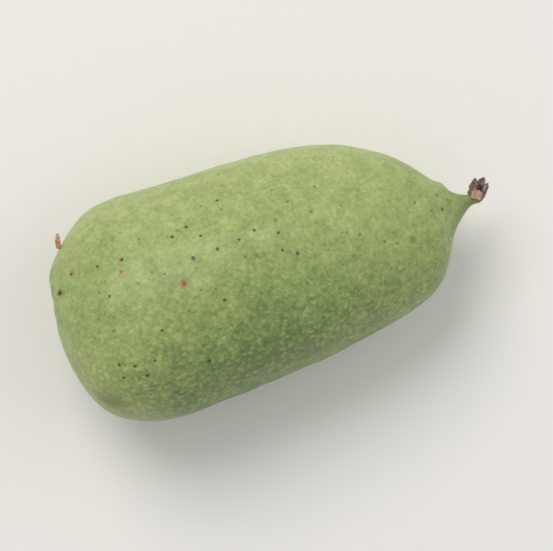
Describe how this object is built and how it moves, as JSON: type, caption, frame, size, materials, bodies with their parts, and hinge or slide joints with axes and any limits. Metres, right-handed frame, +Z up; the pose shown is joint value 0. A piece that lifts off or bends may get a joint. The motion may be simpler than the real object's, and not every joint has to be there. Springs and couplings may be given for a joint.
{
  "type": "kiwi berry",
  "caption": "Ripe green kiwi berry lying on its side, plump and slightly swayed, tapering to a short bent neck with a dried brown stem end and dried flower flakes at the blossom end.",
  "frame": {"origin": "centre of the bottom of the bounding box, on the surface that the berry lies on", "axes": "+X along the berry from its broad blossom end to its narrow stem end, +Z up from the surface it lies on, +Y to the side that the neck bends to"},
  "size_m": [0.0486, 0.0268, 0.0241],
  "materials": {
    "skin": "satin fruit skin, finely mottled green with dark specks",
    "bark": "dry and rough, dark brown",
    "dry_sepal": "dry and crumpled, mauve brown to tan",
    "dry_flake": "dry and papery, orange brown"
  },
  "bodies": {
    "root": {"fruit": "skin", "stem_stub": "bark", "sepal_1": "dry_sepal", "sepal_2": "dry_sepal", "sepal_3": "dry_sepal", "sepal_4": "dry_sepal", "sepal_5": "dry_sepal", "flower_flake_1": "dry_flake", "flower_flake_2": "dry_flake", "flower_flake_3": "dry_flake"}
  },
  "joints": []
}
